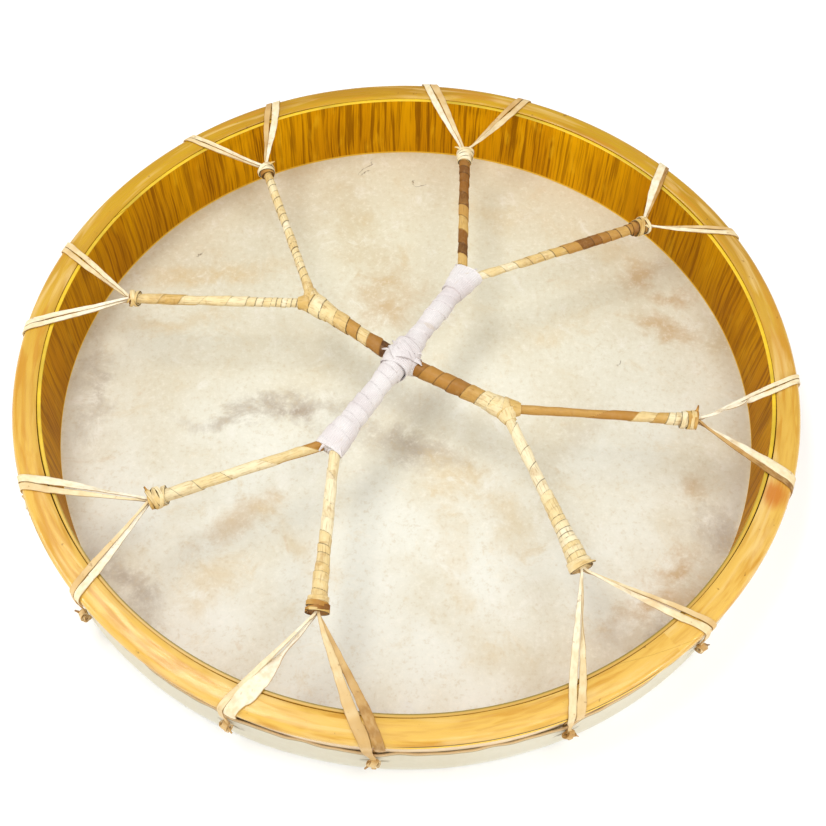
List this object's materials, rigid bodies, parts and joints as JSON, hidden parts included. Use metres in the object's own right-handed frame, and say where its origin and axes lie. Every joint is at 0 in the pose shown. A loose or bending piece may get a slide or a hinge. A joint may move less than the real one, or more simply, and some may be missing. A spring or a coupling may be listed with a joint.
{
  "type": "frame drum",
  "caption": "Round frame drum: rawhide head drawn over a bent-wood hoop and laced at the back to a bound cross of rawhide spokes.",
  "frame": {"origin": "centre of the head's outer face, on the surface the drum lies on", "axes": "+Z from the playing face towards the laced back, +X and +Y in the plane of the head"},
  "size_m": [0.4559, 0.4561, 0.0613],
  "materials": {
    "veneered_shell": "varnished, dark upright grain",
    "raw_hoop": "raw, unvarnished",
    "rim_wood": "honey varnish, satin",
    "head_hide": "dry rawhide, cloudy",
    "thong_hide": "dry rawhide cut in strips",
    "wrap_hide": "rawhide binding, cream to brown",
    "cotton_tape": "woven cotton tape"
  },
  "bodies": {
    "root": {"crossing_binding": "cotton_tape", "drum_head": "head_hide", "hide_arm_c": "wrap_hide", "hide_arm_d": "wrap_hide", "hide_bar_cord": "thong_hide", "inner_shell": "veneered_shell", "junction_a_binding": "cotton_tape", "junction_b_binding": "cotton_tape", "junction_c_binding": "wrap_hide", "junction_d_binding": "wrap_hide", "outer_hoop": "raw_hoop", "rim_hoop": "rim_wood", "spoke_1_collar": "wrap_hide", "spoke_1_wrap": "wrap_hide", "spoke_2_collar": "wrap_hide", "spoke_2_wrap": "wrap_hide", "spoke_3_collar": "wrap_hide", "spoke_3_wrap": "wrap_hide", "spoke_4_collar": "wrap_hide", "spoke_4_wrap": "wrap_hide", "spoke_5_collar": "wrap_hide", "spoke_5_wrap": "wrap_hide", "spoke_6_collar": "wrap_hide", "spoke_6_wrap": "wrap_hide", "spoke_7_collar": "wrap_hide", "spoke_7_wrap": "wrap_hide", "spoke_8_collar": "wrap_hide", "spoke_8_wrap": "wrap_hide", "tape_arm_a": "cotton_tape", "tape_arm_b": "cotton_tape", "tape_bar_cord": "thong_hide", "thong_1a": "thong_hide", "thong_1b": "thong_hide", "thong_2a": "thong_hide", "thong_2b": "thong_hide", "thong_3a": "thong_hide", "thong_3b": "thong_hide", "thong_4a": "thong_hide", "thong_4b": "thong_hide", "thong_5a": "thong_hide", "thong_5b": "thong_hide", "thong_6a": "thong_hide", "thong_6b": "thong_hide", "thong_7a": "thong_hide", "thong_7b": "thong_hide", "thong_8a": "thong_hide", "thong_8b": "thong_hide"}
  },
  "joints": []
}
